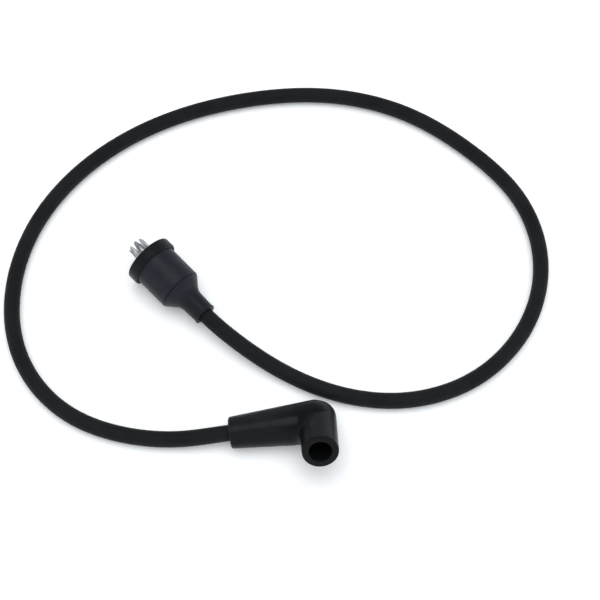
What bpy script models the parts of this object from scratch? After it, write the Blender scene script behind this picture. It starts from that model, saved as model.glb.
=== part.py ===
"""Ignition coil wire: a black high-tension lead with a straight flanged boot over a pronged terminal
on its coil end, and a right-angle boot over a socket terminal on its other end.

It lies on a table in an open loop. Units are metres, +Z is up, and the origin is on the table, in
the middle of the space that the two boots take up. Each end has a frame of its own: the straight
boot's has its origin in the middle of the mouth and +Z out of it, and the elbow boot's has its
origin where the two bores cross, +X along the cable's bore and +Z out of the mouth.
"""

import math

import bmesh
import bpy
import numpy as np
from mathutils import Matrix, Vector

# Cable
CABLE_DIAMETER = 0.0070
CONDUCTOR_DIAMETER = 0.0016
CLEARANCE = 0.0003

# Straight boot
FLANGE_DIAMETER = 0.0233
FLANGE_LENGTH = 0.0051
FLANGE_CORNER = 0.0008
BODY_FRONT_DIAMETER = 0.0205
BODY_REAR_DIAMETER = 0.0203
BODY_LENGTH = 0.0161
CONE_ANGLE = math.radians(38.7)
CONE_FILLET = 0.0060
SLEEVE_FRONT_DIAMETER = 0.0106
SLEEVE_REAR_DIAMETER = 0.0099
SLEEVE_LENGTH = 0.0081
SLEEVE_BEAD_LENGTH = 0.0010
SLEEVE_BEAD_HEIGHT = 0.0003
MOUTH_BORE_DIAMETER = 0.0150
CAVITY_DEPTH = 0.0165
CAVITY_CORNER = 0.0012

# Elbow boot
ELBOW_REAR_DIAMETER = 0.0135
ELBOW_SHOULDER_DIAMETER = 0.0190
ELBOW_SLEEVE_LENGTH = 0.0374
ELBOW_SHOULDER_PLACE = 0.0010
ELBOW_SHOULDER_ROUND = 0.0085
HEAD_DIAMETER = 0.0164
HEEL_DEPTH = 0.0089
HEEL_CORNER = 0.0068
MOUTH_DIAMETER = 0.0154
MOUTH_REACH = 0.0217
PLUG_BORE_DIAMETER = 0.0096
PLUG_BORE_DEPTH = 0.0095
HEAD_CAVITY_DIAMETER = 0.0104
HEAD_CAVITY_DEPTH = 0.0060
EDGE_ROUND = 0.0005

# Terminals, both rolled from one gauge of sheet
SHEET = 0.0005
CRIMP_LENGTH = 0.0095
CRIMP_SHOULDER = 0.0020
WIRE_BARREL_LENGTH = 0.0040
SEAM_WIDTH = 0.0006

# Pronged terminal
PRONG_COUNT = 8
PRONG_REACH = 0.0082
PRONG_ROOT = 0.0010
CROWN_DIAMETER = 0.0086
PRONG_TIP_DIAMETER = 0.0078
PRONG_TIP_WIDTH = 0.0011
PRONG_ROOT_GAP = 0.0005
PRONG_TAPER = 3.5
CROWN_RING_LENGTH = 0.0080
CROWN_SHOULDER = 0.0025

# Socket terminal and its spring
SOCKET_BORE_DIAMETER = 0.0065
SOCKET_LENGTH = 0.0093
SOCKET_BASE_DEPTH = 0.0030
SOCKET_LIP = 0.0003
SOCKET_LIP_LENGTH = 0.0009
STRIP_WIDTH = 0.0044
SPRING_WIRE_DIAMETER = 0.0007
SPRING_HEIGHT = 0.0030
SPRING_GRIP_WIDTH = 0.0058

# Where the ends lie on the table, and how they point
STRAIGHT_MOUTH_PLACE = (-0.0350, 0.0471)
STRAIGHT_HEADING = math.radians(131.3)
TERMINAL_TURN = math.radians(16.5)
ELBOW_PLACE = (0.0356, -0.0338)
ELBOW_MOUTH_RISE = math.radians(34.6)

# The cable's way over the table between the boots, from the straight one to the elbow
ROUTE = (
    (0.0040, 0.0051, 0.0071),
    (0.0169, -0.0047, 0.0054),
    (0.0418, -0.0180, 0.0038),
    (0.0719, -0.0239, 0.0035),
    (0.1043, -0.0161, 0.0035),
    (0.1289, 0.0058, 0.0035),
    (0.1408, 0.0373, 0.0035),
    (0.1356, 0.0714, 0.0035),
    (0.1151, 0.0995, 0.0035),
    (0.0865, 0.1219, 0.0035),
    (0.0519, 0.1335, 0.0035),
    (0.0139, 0.1337, 0.0035),
    (-0.0247, 0.1244, 0.0035),
    (-0.0591, 0.1048, 0.0035),
    (-0.0850, 0.0743, 0.0035),
    (-0.0961, 0.0378, 0.0035),
    (-0.0919, 0.0059, 0.0035),
    (-0.0717, -0.0212, 0.0035),
    (-0.0401, -0.0345, 0.0036),
    (-0.0226, -0.0365, 0.0045),
)
ROUTE_STEP = 2.5 * CABLE_DIAMETER

# How finely round and curved shapes are drawn
BOOT_STEPS = 40
TERMINAL_STEPS = 48
WIRE_STEPS = 12
ARC_STEPS = 4
HEEL_STEPS = 6
EDGE_STEPS = 2
CABLE_ROUNDNESS = 3
SPRING_ROUNDNESS = 1
CURVE_SAMPLES = 40
WELD = 0.00001

CABLE_RADIUS = CABLE_DIAMETER / 2
CABLE_BORE_RADIUS = CABLE_RADIUS + CLEARANCE
CRIMP_RADIUS = CABLE_BORE_RADIUS + SHEET
CRIMP_POCKET_RADIUS = CRIMP_RADIUS + CLEARANCE
WIRE_BARREL_RADIUS = CONDUCTOR_DIAMETER / 2 + CLEARANCE + SHEET
SHOULDER_DEPTH = FLANGE_LENGTH + BODY_LENGTH
CONE_DROP = (BODY_REAR_DIAMETER - SLEEVE_FRONT_DIAMETER) / 2
CONE_LENGTH = CONE_DROP / math.tan(CONE_ANGLE) + CONE_FILLET * math.tan(CONE_ANGLE / 2)
STRAIGHT_LENGTH = SHOULDER_DEPTH + CONE_LENGTH + SLEEVE_LENGTH
WIRE_BARREL_FRONT = CROWN_RING_LENGTH + CROWN_SHOULDER - PRONG_ROOT
CRIMP_SPAN = WIRE_BARREL_LENGTH + CRIMP_SHOULDER + CRIMP_LENGTH
SOCKET_RADIUS = SOCKET_BORE_DIAMETER / 2 + SHEET
OVERSHOOT = 0.004


def clear_scene():
    for old in list(bpy.data.objects):
        bpy.data.objects.remove(old)


def new_collection(name, shown):
    collection = bpy.data.collections.new(name)
    collection.hide_render = not shown
    bpy.context.scene.collection.children.link(collection)
    return collection


def make_material(name, colour, roughness, metallic):
    material = bpy.data.materials.new(name)
    material.use_nodes = True
    shader = material.node_tree.nodes["Principled BSDF"]
    shader.inputs["Base Color"].default_value = (*colour, 1.0)
    shader.inputs["Roughness"].default_value = roughness
    shader.inputs["Metallic"].default_value = metallic
    return material


def place(piece, collection, frame=None, local=None, material=None):
    """Puts a piece in its collection and on its end's frame, and marks a helper as a wire shape."""
    collection.objects.link(piece)
    if frame is not None:
        piece.parent = frame
    if local is not None:
        piece.matrix_local = local
    if collection.hide_render:
        piece.hide_render = True
        piece.display_type = "WIRE"
    if material is not None:
        piece.data.materials.append(material)
    return piece


def arc(centre, radius, start, end, steps=ARC_STEPS):
    """Points (r, z) on an arc, from one angle in degrees to another."""
    angles = [math.radians(start + (end - start) * k / steps) for k in range(steps + 1)]
    return [(centre[0] + radius * math.cos(a), centre[1] + radius * math.sin(a)) for a in angles]


def turned(name, profile, steps, closed=False):
    """A profile of (r, z) points turned about Z. It runs down the outer side, top to bottom."""
    mesh = bpy.data.meshes.new(name)
    count = len(profile)
    edges = [(k, k + 1) for k in range(count - 1)]
    if closed:
        edges.append((count - 1, 0))
    mesh.from_pydata([(r, 0.0, z) for r, z in profile], edges, [])
    piece = bpy.data.objects.new(name, mesh)
    screw = piece.modifiers.new("Turn", "SCREW")
    screw.steps = screw.render_steps = steps
    screw.use_merge_vertices = True
    screw.merge_threshold = WELD
    screw.use_smooth_shade = True
    return piece


def give_wall(piece, thickness):
    """Thickens a turned skin inwards."""
    solidify = piece.modifiers.new("Wall", "SOLIDIFY")
    solidify.thickness = thickness
    solidify.offset = -1.0
    solidify.use_even_offset = True


def combine(piece, other, operation):
    boolean = piece.modifiers.new(other.name, "BOOLEAN")
    boolean.operation = operation
    boolean.solver = "EXACT"
    boolean.object = other


def cut(piece, cutter, helpers, local=None):
    """Takes a cutter's shape out of a piece. The cutter stands in the frame of the piece's end."""
    combine(piece, place(cutter, helpers, piece.parent, local), "DIFFERENCE")


def box(name, low, high):
    """A block between two corners."""
    mesh = bpy.data.meshes.new(name)
    form = bmesh.new()
    bmesh.ops.create_cube(form, size=1.0)
    size = [b - a for a, b in zip(low, high)]
    middle = [(a + b) / 2 for a, b in zip(low, high)]
    bmesh.ops.scale(form, vec=size, verts=form.verts)
    bmesh.ops.translate(form, vec=middle, verts=form.verts)
    form.to_mesh(mesh)
    form.free()
    return bpy.data.objects.new(name, mesh)


def prism(name, outline, half_thickness):
    """A flat outline in XY, extruded both ways along Z, as a closed mesh."""
    curve = bpy.data.curves.new(name, "CURVE")
    curve.dimensions = "2D"
    curve.fill_mode = "BOTH"
    curve.extrude = half_thickness
    spline = curve.splines.new("POLY")
    spline.points.add(len(outline) - 1)
    for point, (x, y) in zip(spline.points, outline):
        point.co = (x, y, 0.0, 1.0)
    spline.use_cyclic_u = True
    drawn = bpy.data.objects.new(name + "_outline", curve)
    bpy.context.scene.collection.objects.link(drawn)
    graph = bpy.context.evaluated_depsgraph_get()
    mesh = bpy.data.meshes.new_from_object(drawn.evaluated_get(graph))
    bpy.data.objects.remove(drawn)
    form = bmesh.new()
    form.from_mesh(mesh)
    bmesh.ops.remove_doubles(form, verts=form.verts, dist=WELD)
    bmesh.ops.recalc_face_normals(form, faces=form.faces)
    form.to_mesh(mesh)
    form.free()
    return bpy.data.objects.new(name, mesh)


def tube(name, points, radius, roundness):
    """A round tube with closed ends along a run of points."""
    curve = bpy.data.curves.new(name, "CURVE")
    curve.dimensions = "3D"
    curve.bevel_depth = radius
    curve.bevel_resolution = roundness
    curve.use_fill_caps = True
    spline = curve.splines.new("POLY")
    spline.points.add(len(points) - 1)
    for point, spot in zip(spline.points, points):
        point.co = (*spot, 1.0)
    spline.use_smooth = True
    return bpy.data.objects.new(name, curve)


def band(points, thickness):
    """The outline of a strip of sheet seen from its edge, along a run of (x, y) points."""
    run = [Vector(p) for p in points]
    upper, lower = [], []
    for k, here in enumerate(run):
        before = (here - run[k - 1]).normalized() if k else (run[1] - run[0]).normalized()
        after = (run[k + 1] - here).normalized() if k + 1 < len(run) else before
        normal = Vector((-(before + after).y, (before + after).x)).normalized()
        reach = thickness / 2 / normal.dot(Vector((-after.y, after.x)))
        upper.append(tuple(here + normal * reach))
        lower.append(tuple(here - normal * reach))
    return upper + lower[::-1]


def straight_boot_tilt():
    """How far the mouth tips up: the boot lies on its flange's rear corner and its shoulder."""
    drop = FLANGE_DIAMETER / 2 - FLANGE_CORNER - BODY_REAR_DIAMETER / 2
    run = SHOULDER_DEPTH - (FLANGE_LENGTH - FLANGE_CORNER)
    return math.atan2(drop, run) + math.asin(FLANGE_CORNER / math.hypot(drop, run))


def straight_frame():
    """From the straight boot's own frame to the world."""
    tilt = straight_boot_tilt()
    height = BODY_REAR_DIAMETER / 2 * math.cos(tilt) + SHOULDER_DEPTH * math.sin(tilt)
    turn = Matrix.Rotation(STRAIGHT_HEADING, 4, "Z") @ Matrix.Rotation(math.pi / 2 - tilt, 4, "Y")
    return Matrix.Translation((*STRAIGHT_MOUTH_PLACE, height)) @ turn


def elbow_frame():
    """From the elbow boot's own frame to the world. Its sleeve lies on the table along its side."""
    growth = (ELBOW_SHOULDER_DIAMETER - ELBOW_REAR_DIAMETER) / 2
    slope = math.atan2(growth, ELBOW_SLEEVE_LENGTH - ELBOW_SHOULDER_PLACE)
    height = ELBOW_SHOULDER_DIAMETER / 2 / math.cos(slope) + ELBOW_SHOULDER_PLACE * math.sin(slope)
    swing = math.asin(math.sin(slope) / math.cos(ELBOW_MOUTH_RISE))
    lean = Matrix.Rotation(math.pi / 2 - ELBOW_MOUTH_RISE, 4, "X")
    return Matrix.Translation((*ELBOW_PLACE, height)) @ lean @ Matrix.Rotation(swing, 4, "Z")


def make_straight_boot(collection, frame, material):
    flange = FLANGE_DIAMETER / 2
    bore = MOUTH_BORE_DIAMETER / 2
    front, rear = BODY_FRONT_DIAMETER / 2, BODY_REAR_DIAMETER / 2
    neck, end = SLEEVE_FRONT_DIAMETER / 2, SLEEVE_REAR_DIAMETER / 2
    corner = (flange - FLANGE_CORNER, FLANGE_CORNER - FLANGE_LENGTH)
    lip = EDGE_ROUND / 2
    profile = arc((flange - EDGE_ROUND, -EDGE_ROUND), EDGE_ROUND, 90, 0)
    profile += arc(corner, FLANGE_CORNER, 0, -90)
    profile += [(front, -FLANGE_LENGTH), (rear, -SHOULDER_DEPTH)]
    fillet = (neck + CONE_FILLET, -SHOULDER_DEPTH - CONE_LENGTH)
    profile += arc(fillet, CONE_FILLET, 180 - math.degrees(CONE_ANGLE), 180)
    bead, bead_front = end + SLEEVE_BEAD_HEIGHT, SLEEVE_BEAD_LENGTH - STRAIGHT_LENGTH
    profile += [(end, bead_front), (bead, bead_front - SLEEVE_BEAD_HEIGHT)]
    profile += [(bead, lip - STRAIGHT_LENGTH), (bead - lip, -STRAIGHT_LENGTH)]
    profile += [(CABLE_BORE_RADIUS, -STRAIGHT_LENGTH)]
    pocket_end = -WIRE_BARREL_FRONT - CRIMP_SPAN - CLEARANCE
    profile += [(CABLE_BORE_RADIUS, pocket_end), (CRIMP_POCKET_RADIUS, pocket_end)]
    profile += [(CRIMP_POCKET_RADIUS, -CAVITY_DEPTH)]
    profile += arc((bore - CAVITY_CORNER, CAVITY_CORNER - CAVITY_DEPTH), CAVITY_CORNER, -90, 0)
    profile += [(bore, -EDGE_ROUND), (bore + EDGE_ROUND, 0.0)]
    boot = turned("straight_boot", profile, BOOT_STEPS, closed=True)
    place(boot, collection, frame, material=material)


def elbow_sleeve_profile():
    """Down the outside from the shoulder's round end to the cable's end, as (r, z)."""
    rear, shoulder = ELBOW_REAR_DIAMETER / 2, ELBOW_SHOULDER_DIAMETER / 2
    end = -ELBOW_SLEEVE_LENGTH
    steps = 2 * ARC_STEPS
    profile = [(0.0, ELBOW_SHOULDER_ROUND - ELBOW_SHOULDER_PLACE)]
    for k in range(1, steps + 1):
        angle = math.pi / 2 * (1 - k / steps)
        lift = ELBOW_SHOULDER_ROUND * math.sin(angle) - ELBOW_SHOULDER_PLACE
        profile.append((shoulder * math.cos(angle), lift))
    profile += arc((rear - EDGE_ROUND, end + EDGE_ROUND), EDGE_ROUND, 0, -90, EDGE_STEPS)
    return profile + [(0.0, end)]


def elbow_head_profile():
    """Down the outside of the head, from its mouth to its rounded heel, as (r, z)."""
    mouth, head = MOUTH_DIAMETER / 2, HEAD_DIAMETER / 2
    profile = [(0.0, MOUTH_REACH)]
    profile += arc((mouth - EDGE_ROUND, MOUTH_REACH - EDGE_ROUND), EDGE_ROUND, 90, 0, EDGE_STEPS)
    profile += arc((head - HEEL_CORNER, HEEL_CORNER - HEEL_DEPTH), HEEL_CORNER, 0, -90, HEEL_STEPS)
    return profile + [(0.0, -HEEL_DEPTH)]


def along_sleeve():
    """Turns a piece's own +Z onto the elbow frame's +X."""
    return Matrix.Rotation(math.pi / 2, 4, "Y")


def make_elbow_boot(collection, helpers, frame, material):
    boot = turned("elbow_boot", elbow_sleeve_profile(), BOOT_STEPS)
    place(boot, collection, frame, along_sleeve(), material)
    head = turned("elbow_head", elbow_head_profile(), BOOT_STEPS)
    combine(boot, place(head, helpers, frame), "UNION")

    pocket_end = -elbow_wire_barrel_front() - CRIMP_SPAN - CLEARANCE
    outside = -ELBOW_SLEEVE_LENGTH - OVERSHOOT
    channel = [(0.0, 0.0), (CRIMP_POCKET_RADIUS, 0.0), (CRIMP_POCKET_RADIUS, pocket_end)]
    channel += [(CABLE_BORE_RADIUS, pocket_end), (CABLE_BORE_RADIUS, outside), (0.0, outside)]
    cut(boot, turned("cable_channel", channel, BOOT_STEPS), helpers, along_sleeve())

    bore, cavity = PLUG_BORE_DIAMETER / 2, HEAD_CAVITY_DIAMETER / 2
    floor, above = -HEAD_CAVITY_DEPTH, MOUTH_REACH + OVERSHOOT
    bore_end = MOUTH_REACH - PLUG_BORE_DEPTH
    hollow = [(0.0, above), (bore + EDGE_ROUND + OVERSHOOT, above), (bore, MOUTH_REACH - EDGE_ROUND)]
    hollow += [(bore, bore_end), (cavity, bore_end - (cavity - bore))]
    hollow += arc((cavity - CAVITY_CORNER, floor + CAVITY_CORNER), CAVITY_CORNER, 0, -90)
    hollow += [(0.0, floor)]
    cut(boot, turned("head_hollow", hollow, BOOT_STEPS), helpers)


def crimp_profile(front):
    """The outside of a wire barrel and the cable crimp behind it, downwards from the height given."""
    below = front - WIRE_BARREL_LENGTH
    return [
        (WIRE_BARREL_RADIUS, front),
        (WIRE_BARREL_RADIUS, below),
        (CRIMP_RADIUS, below - CRIMP_SHOULDER),
        (CRIMP_RADIUS, below - CRIMP_SHOULDER - CRIMP_LENGTH),
    ]


def open_shoulder(terminal, helpers, local, name, top, bottom):
    """Opens the upper side of a shoulder between two barrels, which leaves its trough."""
    side = CRIMP_RADIUS + OVERSHOOT
    window = box(name, (-side, -side, bottom), (WIRE_BARREL_RADIUS / 2, side, top))
    cut(terminal, window, helpers, local)


def make_prong_terminal(collection, helpers, frame, material):
    crown, tip = CROWN_DIAMETER / 2, PRONG_TIP_DIAMETER / 2
    ring_end = PRONG_ROOT - CROWN_RING_LENGTH
    profile = [(tip, PRONG_REACH)]
    for k in range(1, ARC_STEPS + 1):
        share = k / ARC_STEPS
        radius = tip + (crown - tip) * (1 - (1 - share) ** 2)
        profile.append((radius, PRONG_REACH + (PRONG_ROOT - PRONG_REACH) * share))
    profile += [(crown, ring_end)] + crimp_profile(-WIRE_BARREL_FRONT)
    terminal = turned("prong_terminal", profile, TERMINAL_STEPS)
    give_wall(terminal, SHEET)
    local = Matrix.Rotation(TERMINAL_TURN, 4, "Z")
    place(terminal, collection, frame, local, material)

    pitch = math.pi * PRONG_TIP_DIAMETER / PRONG_COUNT
    half_gap = (pitch - PRONG_TIP_WIDTH) / 2
    side = []
    for k in range(ARC_STEPS + 1):
        share = k / ARC_STEPS
        width = PRONG_ROOT_GAP / 2 + (half_gap - PRONG_ROOT_GAP / 2) * share**PRONG_TAPER
        side.append((PRONG_ROOT + (PRONG_REACH - PRONG_ROOT) * share, width))
    side.append((PRONG_REACH + OVERSHOOT, half_gap))
    outline = side + [(z, -width) for z, width in reversed(side)]
    upright = Matrix.Rotation(-math.pi / 2, 4, "Y")
    for k in range(PRONG_COUNT // 2):
        turn = local @ Matrix.Rotation(2 * math.pi * k / PRONG_COUNT, 4, "Z")
        cut(terminal, prism(f"prong_gap_{k}", outline, CROWN_DIAMETER), helpers, turn @ upright)

    front = -WIRE_BARREL_FRONT
    rear = front - WIRE_BARREL_LENGTH
    crimp = rear - CRIMP_SHOULDER
    open_shoulder(terminal, helpers, local, "crown_window", ring_end - SHEET, front + SHEET / 2)
    open_shoulder(terminal, helpers, local, "prong_crimp_window", rear - SHEET / 2, crimp + SHEET)
    low = (-CROWN_DIAMETER / 2 - OVERSHOOT, -SEAM_WIDTH / 2, front - CRIMP_SPAN - OVERSHOOT)
    high = (0.0, SEAM_WIDTH / 2, PRONG_ROOT + SEAM_WIDTH)
    cut(terminal, box("prong_seam", low, high), helpers, local)


def elbow_wire_barrel_front():
    """How far the socket terminal's wire barrel stays behind the middle of the head."""
    return HEAD_CAVITY_DIAMETER / 2 + WIRE_BARREL_LENGTH


def make_socket_terminal(collection, helpers, frame, material):
    front = -elbow_wire_barrel_front()
    local = along_sleeve()
    terminal = turned("socket_terminal", crimp_profile(front), TERMINAL_STEPS)
    give_wall(terminal, SHEET)
    place(terminal, collection, frame, local, material)
    rear = front - WIRE_BARREL_LENGTH
    crimp = rear - CRIMP_SHOULDER
    open_shoulder(terminal, helpers, local, "socket_crimp_window", rear - SHEET / 2, crimp + SHEET)
    low = (-CRIMP_RADIUS - OVERSHOOT, -SEAM_WIDTH / 2, front - CRIMP_SPAN - OVERSHOOT)
    high = (0.0, SEAM_WIDTH / 2, front + OVERSHOOT)
    cut(terminal, box("socket_seam", low, high), helpers, local)

    level = -SOCKET_BASE_DEPTH - SHEET / 2
    trough = SHEET / 2 - WIRE_BARREL_RADIUS
    bend = -SOCKET_RADIUS - WIRE_BARREL_LENGTH / 2
    run = [(front - WIRE_BARREL_LENGTH / 2, trough), (front + SHEET, trough)]
    run += [(bend, level), (SOCKET_RADIUS - SHEET / 4, level)]
    strip = prism("socket_strip", band(run, SHEET), STRIP_WIDTH / 2)
    on_edge = Matrix.Rotation(math.pi / 2, 4, "X")
    combine(terminal, place(strip, helpers, frame, on_edge), "UNION")

    top = SOCKET_LENGTH - SOCKET_BASE_DEPTH
    wall = [(SOCKET_RADIUS + SOCKET_LIP, top), (SOCKET_RADIUS, top - SOCKET_LIP_LENGTH)]
    wall += [(SOCKET_RADIUS, level)]
    socket = turned("socket_tube", wall, TERMINAL_STEPS)
    give_wall(socket, SHEET)
    place(socket, helpers, frame)
    outside = SOCKET_RADIUS + OVERSHOOT
    low = (0.0, -SEAM_WIDTH / 2, SHEET - SOCKET_BASE_DEPTH)
    cut(socket, box("socket_slit", low, (outside, SEAM_WIDTH / 2, top + OVERSHOOT)), helpers)
    room = SPRING_WIRE_DIAMETER / 2 + CLEARANCE
    inner = SPRING_GRIP_WIDTH / 2 - room
    for name, near, far in (("left", inner, outside), ("right", -outside, -inner)):
        low = (-SOCKET_RADIUS, near, SPRING_HEIGHT - room)
        high = (SOCKET_RADIUS, far, SPRING_HEIGHT + room)
        cut(socket, box("spring_slot_" + name, low, high), helpers)
    combine(terminal, socket, "UNION")


def make_socket_spring(collection, frame, material):
    """Two straight legs that pass through the socket's slots, and a bow round its front."""
    grip = SPRING_GRIP_WIDTH / 2
    bow = SOCKET_RADIUS + CLEARANCE + SPRING_WIRE_DIAMETER / 2
    tail = math.sqrt(bow * bow - grip * grip)
    opening = math.asin(grip / bow)
    steps = 2 * ARC_STEPS
    points = [(-tail, grip, SPRING_HEIGHT), (0.0, grip, SPRING_HEIGHT)]
    for k in range(steps + 1):
        angle = opening * (1 - 2 * k / steps)
        points.append((bow * math.cos(angle), bow * math.sin(angle), SPRING_HEIGHT))
    points += [(0.0, -grip, SPRING_HEIGHT), (-tail, -grip, SPRING_HEIGHT)]
    spring = tube("socket_spring", points, SPRING_WIRE_DIAMETER / 2, SPRING_ROUNDNESS)
    place(spring, collection, frame, material=material)


def make_conductor_end(name, front, collection, frame, local, material):
    """The bared conductor between the cable's end face and the front of the wire barrel."""
    radius = CONDUCTOR_DIAMETER / 2
    top = -front - CLEARANCE
    bottom = top - WIRE_BARREL_LENGTH - CRIMP_SHOULDER
    profile = [(0.0, top), (radius, top), (radius, bottom), (0.0, bottom)]
    place(turned(name, profile, WIRE_STEPS), collection, frame, local, material)


def cable_front(wire_barrel_front):
    """How deep in a boot the cable's end face lies."""
    return wire_barrel_front + 2 * CLEARANCE + WIRE_BARREL_LENGTH + CRIMP_SHOULDER


def smooth_curve(points, first_heading, last_heading, step):
    """Points a step apart on a curve through the given ones, with no break in its bending."""
    knots = np.array(points)
    spans = np.linalg.norm(np.diff(knots, axis=0), axis=1)
    count = len(knots)
    system = np.eye(count)
    slopes = np.zeros((count, 3))
    slopes[0], slopes[-1] = first_heading, last_heading
    for k in range(1, count - 1):
        before, after = spans[k - 1], spans[k]
        system[k, k - 1 : k + 2] = after, 2 * (before + after), before
        slopes[k] = 3 * after / before * (knots[k] - knots[k - 1])
        slopes[k] += 3 * before / after * (knots[k + 1] - knots[k])
    slopes = np.linalg.solve(system, slopes)
    fine = [knots[0]]
    for k, span in enumerate(spans):
        for t in np.linspace(0, 1, CURVE_SAMPLES + 1)[1:]:
            blend = t * t * (3 - 2 * t)
            bend = t * (1 - t) * ((1 - t) * slopes[k] - t * slopes[k + 1]) * span
            fine.append(knots[k] * (1 - blend) + knots[k + 1] * blend + bend)
    fine = np.array(fine)
    strides = np.linalg.norm(np.diff(fine, axis=0), axis=1)
    travelled = np.concatenate([[0.0], np.cumsum(strides)])
    stops = np.linspace(0, travelled[-1], round(travelled[-1] / step) + 1)
    return np.column_stack([np.interp(stops, travelled, fine[:, axis]) for axis in range(3)])


def cable_points():
    """The cable's centre line: straight in each boot, and one smooth curve between them."""
    straight, elbow = straight_frame(), elbow_frame()
    straight_end = straight @ Vector((0, 0, -cable_front(WIRE_BARREL_FRONT)))
    straight_exit = straight @ Vector((0, 0, -STRAIGHT_LENGTH - CLEARANCE))
    elbow_exit = elbow @ Vector((-ELBOW_SLEEVE_LENGTH - CLEARANCE, 0, 0))
    elbow_end = elbow @ Vector((-cable_front(elbow_wire_barrel_front()), 0, 0))
    out = (straight_exit - straight_end).normalized()
    back = (elbow_end - elbow_exit).normalized()
    middle = smooth_curve([straight_exit, *ROUTE, elbow_exit], out, back, ROUTE_STEP)
    middle[:, 2] = np.maximum(middle[:, 2], CABLE_RADIUS)
    return [tuple(straight_end), *map(tuple, middle.tolist()), tuple(elbow_end)]


def main():
    clear_scene()
    parts = new_collection("ignition_coil_wire", shown=True)
    helpers = new_collection("cutters", shown=False)

    jacket = make_material("black_rubber_jacket", (0.012, 0.012, 0.012), 0.45, 0.0)
    moulding = make_material("black_moulded_rubber", (0.016, 0.016, 0.019), 0.5, 0.0)
    plating = make_material("tin_plated_brass", (0.72, 0.72, 0.70), 0.28, 1.0)
    spring_steel = make_material("spring_steel", (0.45, 0.45, 0.47), 0.35, 1.0)
    copper = make_material("tinned_copper_strand", (0.66, 0.62, 0.57), 0.4, 1.0)

    ends = {}
    for name, matrix in (("straight_end", straight_frame()), ("elbow_end", elbow_frame())):
        ends[name] = bpy.data.objects.new(name, None)
        parts.objects.link(ends[name])
        ends[name].matrix_world = matrix
    straight, elbow = ends["straight_end"], ends["elbow_end"]

    make_straight_boot(parts, straight, moulding)
    make_prong_terminal(parts, helpers, straight, plating)
    make_conductor_end("straight_conductor_end", WIRE_BARREL_FRONT, parts, straight, None, copper)
    make_elbow_boot(parts, helpers, elbow, moulding)
    make_socket_terminal(parts, helpers, elbow, plating)
    make_socket_spring(parts, elbow, spring_steel)
    front = elbow_wire_barrel_front()
    make_conductor_end("elbow_conductor_end", front, parts, elbow, along_sleeve(), copper)
    cable = tube("cable", cable_points(), CABLE_RADIUS, CABLE_ROUNDNESS)
    place(cable, parts, material=jacket)


main()
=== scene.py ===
"""The looks of an ignition coil wire: a black high-tension lead in an open loop on a white table.

One end has a straight flanged boot over a terminal with a crown of prongs, and the other a
right-angle boot over a socket terminal. The boots, the crown and the cable are modelled here over
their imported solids, and the small metal inside the boots gets its finishes. Units are metres.

The straight end's own frame has its origin in the middle of the boot's mouth and +Z out of it. The
elbow end's has its origin where the two bores cross, +X along the cable's bore and +Z out of the
mouth.
"""

import math

import bpy
import numpy as np
from bpy.props import FloatProperty, FloatVectorProperty, IntProperty, PointerProperty
from mathutils import Matrix, Vector


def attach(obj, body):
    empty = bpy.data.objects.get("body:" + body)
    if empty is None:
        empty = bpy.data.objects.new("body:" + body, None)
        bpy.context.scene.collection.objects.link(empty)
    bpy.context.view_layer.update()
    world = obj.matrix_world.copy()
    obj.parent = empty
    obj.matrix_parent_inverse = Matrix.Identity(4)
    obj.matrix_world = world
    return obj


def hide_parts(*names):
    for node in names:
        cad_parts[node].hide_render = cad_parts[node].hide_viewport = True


bl_info = {
    "name": "Ignition Coil Wire",
    "version": (1, 0, 0),
    "blender": (4, 5, 0),
    "location": "3D View > Sidebar > Coil Wire",
    "description": "Models an ignition coil wire with its two rubber boots and its terminals",
    "category": "Add Mesh",
}

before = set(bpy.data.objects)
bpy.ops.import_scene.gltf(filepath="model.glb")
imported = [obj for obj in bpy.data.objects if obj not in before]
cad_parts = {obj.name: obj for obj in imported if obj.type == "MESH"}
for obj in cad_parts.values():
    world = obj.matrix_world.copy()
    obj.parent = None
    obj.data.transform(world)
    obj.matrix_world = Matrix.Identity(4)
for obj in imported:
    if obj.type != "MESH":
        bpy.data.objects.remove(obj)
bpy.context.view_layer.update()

# The cable's way over the table between the boots, from the straight one to the elbow
ROUTE = (
    (0.0040, 0.0051, 0.0071),
    (0.0169, -0.0047, 0.0054),
    (0.0418, -0.0180, 0.0038),
    (0.0719, -0.0239, 0.0035),
    (0.1043, -0.0161, 0.0035),
    (0.1289, 0.0058, 0.0035),
    (0.1408, 0.0373, 0.0035),
    (0.1356, 0.0714, 0.0035),
    (0.1151, 0.0995, 0.0035),
    (0.0865, 0.1219, 0.0035),
    (0.0519, 0.1335, 0.0035),
    (0.0139, 0.1337, 0.0035),
    (-0.0247, 0.1244, 0.0035),
    (-0.0591, 0.1048, 0.0035),
    (-0.0850, 0.0743, 0.0035),
    (-0.0961, 0.0378, 0.0035),
    (-0.0919, 0.0059, 0.0035),
    (-0.0717, -0.0212, 0.0035),
    (-0.0401, -0.0345, 0.0036),
    (-0.0226, -0.0365, 0.0045),
)
# Samples between two of those points, and how far apart the cable's own points are
CURVE_SAMPLES = 40
CABLE_STEP = 0.002

# How finely the turned and rounded shapes are drawn
BOOT_SIDES = 128
METAL_SIDES = 128
ARC_STEPS = 8
LIP_STEPS = 4
PRONG_STEPS = 12
CABLE_ROUNDNESS = 10
SMOOTH_ANGLE = math.radians(32)
BEVEL_ANGLE = math.radians(50)

# How far a cutter stands out of what it cuts, and how near points are when they are merged
OVERSHOOT = 0.004
WELD = 0.000001

# The grid that the elbow's skin is fused on, and how often its crotch and all of it are smoothed
VOXEL = 0.00034
CROTCH_SMOOTHING = 160
SKIN_SMOOTHING = 4
SMOOTHING_SHARE = 0.5

# The shoulder groove's depth and how far down its floor is, as shares of its width
GROOVE_DEPTH = 1.4
GROOVE_FLOOR = 0.25

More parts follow.
